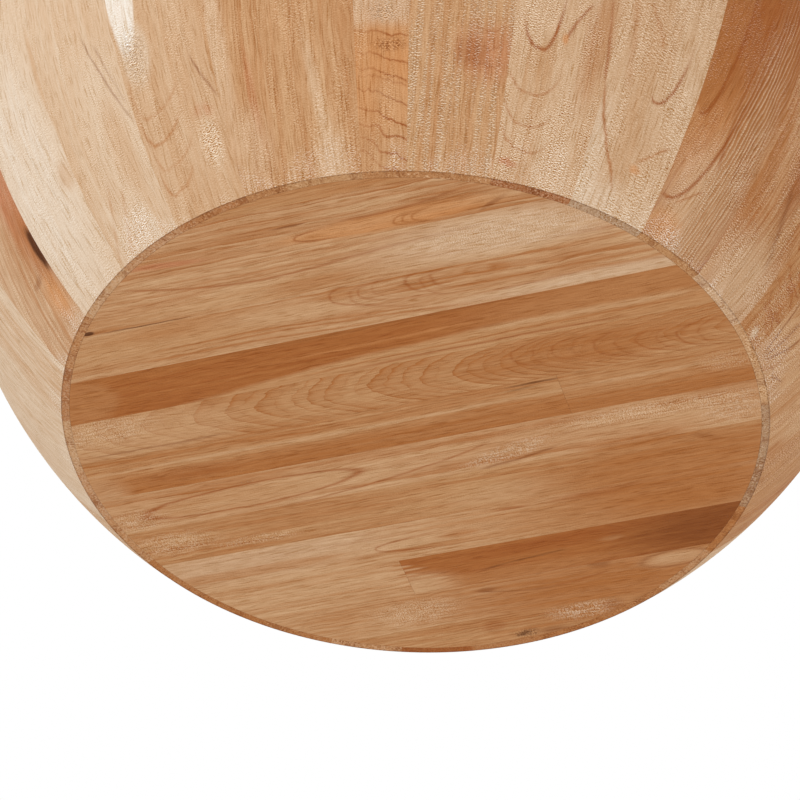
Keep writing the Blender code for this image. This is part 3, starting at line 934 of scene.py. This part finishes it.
def add_stave(name):
    start, end = stave_span(name)
    middle = (start + end) / 2
    spread = (CAD_GAP - SEAM_GAP) / 2
    full, eased = stave_profile(0.0), stave_profile(ARRIS)
    columns = [(share, full, ARRIS) for share in even(0.0, 1.0, STAVE_COLUMNS)]
    columns = [(0.0, eased, 0.0)] + columns + [(1.0, eased, 0.0)]
    rings, flows = [], []
    for share, profile, inset in columns:
        ring, flow = [], []
        for radius, z in profile:
            reach = (spread - inset) / radius
            angle = start - reach + share * (end - start + 2 * reach)
            outside = outer_wall.radius(z)
            ring.append((radius * math.cos(angle), radius * math.sin(angle), z))
            flow.append((outer_wall.length(z), (angle - middle) * outside, outside - radius))
        rings.append(ring)
        flows.append(flow)
    rim, foot = STAVE_ROWS + 1, len(full) - 1
    add_piece(name, rings, flows, {rim, foot}, "barrel")


# Boards

def rim_points(radius, start, end, steps):
    return [(radius * math.cos(a), radius * math.sin(a)) for a in even(start, end, steps)]


def strip_outline(low, high, radius, left=None, right=None):
    """The strip of a disc between two lines along X, anticlockwise, cut off at left or right if given."""
    if high >= radius:
        edge = math.asin(low / radius)
        return rim_points(radius, edge, math.pi - edge, CAP_STEPS)
    if low <= -radius:
        edge = math.asin(high / radius)
        return rim_points(radius, math.pi - edge, 2 * math.pi + edge, CAP_STEPS)
    below = math.asin(low / radius)
    above = math.asin(high / radius)
    ends = []
    for cut, start, end in ((right, below, above), (left, math.pi - above, math.pi - below)):
        points = rim_points(radius, start, end, END_STEPS)
        ends += points if cut is None else [(cut, y) for _, y in points]
    return ends


def reach_of(name):
    """Farthest vertex of a CAD node from the middle axis."""
    return max(radius for radius, _ in section(name))


def add_board(name, levels, body, crosswise=False):
    """A strip of a disc through levels of (radius, z, inset), running along X or crosswise along Y."""
    low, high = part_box(name)
    if crosswise:
        low, high = Vector((low.y, -high.x, low.z)), Vector((high.y, -low.x, high.z))
    reach = reach_of(name)
    spread = 0.0 if crosswise else (CAD_GAP - SEAM_GAP) / 2
    first = low.y < -reach + MM
    last = high.y > reach - MM
    chord = math.sqrt(max(0.0, reach ** 2 - max(abs(low.y), abs(high.y)) ** 2))
    cut_left = low.x > -chord + MM
    cut_right = high.x < chord - MM
    rings = []
    for radius, z, inset in levels:
        near = -radius if first else low.y - spread + inset
        far = radius if last else high.y + spread - inset
        left = low.x - spread + inset if cut_left else None
        right = high.x + spread - inset if cut_right else None
        rings.append([(x, y, z) for x, y in strip_outline(near, far, radius, left, right)])
    face = levels[0][1] if body == "barrel" else levels[-1][1]
    flows = [[(x, y, abs(z - face)) for x, y, z in ring] for ring in rings]
    if crosswise:
        rings = [[(-y, x, z) for x, y, z in ring] for ring in rings]
    half = len(rings[0]) // 2
    sides = set() if first or last else {half - 1, 2 * half - 1}
    add_piece(name, rings, flows, set(range(2 * half)) - sides, body)


def base_levels():
    low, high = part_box("base_board_06")
    radius = LIP_RADIUS - BASE_GAP
    return [(radius - ARRIS, low.z, ARRIS), (radius, low.z + ARRIS, 0.0),
            (radius, high.z - ARRIS, 0.0), (radius - ARRIS, high.z, ARRIS)]


def lid_levels():
    low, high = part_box("lid_board_05")
    arris_z = low.z + RIM_CHAMFER
    levels = [(outer_wall.radius(low.z) - RIM_CHAMFER, low.z, ARRIS),
              (outer_wall.radius(arris_z), arris_z, 0.0)]
    ease_z = high.z - LID_EASE
    ease_radius = outer_wall.radius(ease_z) - LID_EASE
    for turn in even(0.0, math.pi / 2, EASE_STEPS):
        z = ease_z + LID_EASE * math.sin(turn)
        levels.append((ease_radius + LID_EASE * math.cos(turn), z, max(0.0, z - high.z + ARRIS)))
    return levels


def cleat_levels():
    low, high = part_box("lid_cleat_left")
    radius = reach_of("lid_cleat_left")
    return [(radius - CLEAT_ARRIS, low.z, CLEAT_ARRIS), (radius, low.z + CLEAT_ARRIS, 0.0),
            (radius, high.z, 0.0)]


def dress():
    for name in sorted(nodes):
        if name.startswith("stave"):
            add_stave(name)
        elif name.startswith("base_board"):
            add_board(name, base_levels(), "barrel")
        elif name.startswith("lid_board"):
            add_board(name, lid_levels(), "lid")
        else:
            add_board(name, cleat_levels(), "lid", crosswise=True)


# Stage

def add_camera():
    data = bpy.data.cameras.new("camera")
    data.lens = CAMERA_LENS
    data.sensor_width = CAMERA_SENSOR
    data.clip_start = CAMERA_CLIP
    camera = bpy.data.objects.new("camera", data)
    turn = Matrix.Rotation(CAMERA_TURN, 4, "Z") @ Matrix.Rotation(CAMERA_TILT, 4, "X")
    camera.matrix_world = Matrix.Translation(CAMERA_PLACE) @ turn @ Matrix.Rotation(CAMERA_ROLL, 4, "Z")
    bpy.context.scene.collection.objects.link(camera)
    bpy.context.scene.camera = camera


def add_world():
    """White to look at, and a plain soft light on the object."""
    world = bpy.data.worlds.new("world")
    bpy.context.scene.world = world
    world.use_nodes = True
    tree = world.node_tree
    background = tree.nodes["Background"]
    path = tree.nodes.new("ShaderNodeLightPath")
    seen = tree.nodes.new("ShaderNodeMath")
    seen.operation = "MAXIMUM"
    tree.links.new(path.outputs["Is Camera Ray"], seen.inputs[0])
    also = tree.nodes.new("ShaderNodeMath")
    also.operation = "MAXIMUM"
    tree.links.new(path.outputs["Is Glossy Ray"], also.inputs[0])
    tree.links.new(path.outputs["Is Transmission Ray"], also.inputs[1])
    tree.links.new(also.outputs[0], seen.inputs[1])
    level = tree.nodes.new("ShaderNodeMapRange")
    tree.links.new(seen.outputs[0], level.inputs["Value"])
    level.inputs["To Min"].default_value = WORLD_LIGHT
    level.inputs["To Max"].default_value = WORLD_SEEN
    tree.links.new(level.outputs["Result"], background.inputs["Strength"])
    background.inputs["Color"].default_value = (1.0, 1.0, 1.0, 1.0)


def add_lamp(name, place, size, power):
    data = bpy.data.lights.new(name, "AREA")
    data.size = size
    data.energy = power
    lamp = bpy.data.objects.new(name, data)
    lamp.location = place
    lamp.rotation_mode = "QUATERNION"
    lamp.rotation_quaternion = (LAMP_AIM - Vector(place)).to_track_quat("-Z", "Y")
    lamp.visible_camera = False
    bpy.context.scene.collection.objects.link(lamp)


def add_floor():
    """A pale floor that shows from above only, so the base can be seen from below."""
    mesh = bpy.data.meshes.new("floor")
    signs = ((-1, -1), (1, -1), (1, 1), (-1, 1))
    corners = [(x * FLOOR_REACH, y * FLOOR_REACH, -FLOOR_DROP) for x, y in signs]
    mesh.from_pydata(corners, [], [(0, 1, 2, 3)])
    floor = bpy.data.objects.new("floor", mesh)
    bpy.context.scene.collection.objects.link(floor)
    graph = Graph("floor")
    graph.shader.inputs["Base Color"].default_value = FLOOR_TONE
    graph.shader.inputs["Roughness"].default_value = 0.9
    graph.shader.inputs["Specular IOR Level"].default_value = 0.0
    clear = graph.add("ShaderNodeBsdfTransparent", {})
    side = graph.add("ShaderNodeNewGeometry", {})
    both = graph.nodes.new("ShaderNodeMixShader")
    graph.links.new(side.outputs["Backfacing"], both.inputs[0])
    graph.links.new(graph.shader.outputs[0], both.inputs[1])
    graph.links.new(clear.outputs[0], both.inputs[2])
    graph.links.new(both.outputs[0], graph.nodes["Material Output"].inputs["Surface"])
    mesh.materials.append(graph.material)
    floor.visible_diffuse = False
    floor.visible_glossy = False
    floor.visible_transmission = False
    floor.visible_shadow = False


bpy.context.scene.view_settings.view_transform = "Standard"
dress()
add_camera()
add_world()
for lamp in LAMPS:
    add_lamp(*lamp)
add_floor()
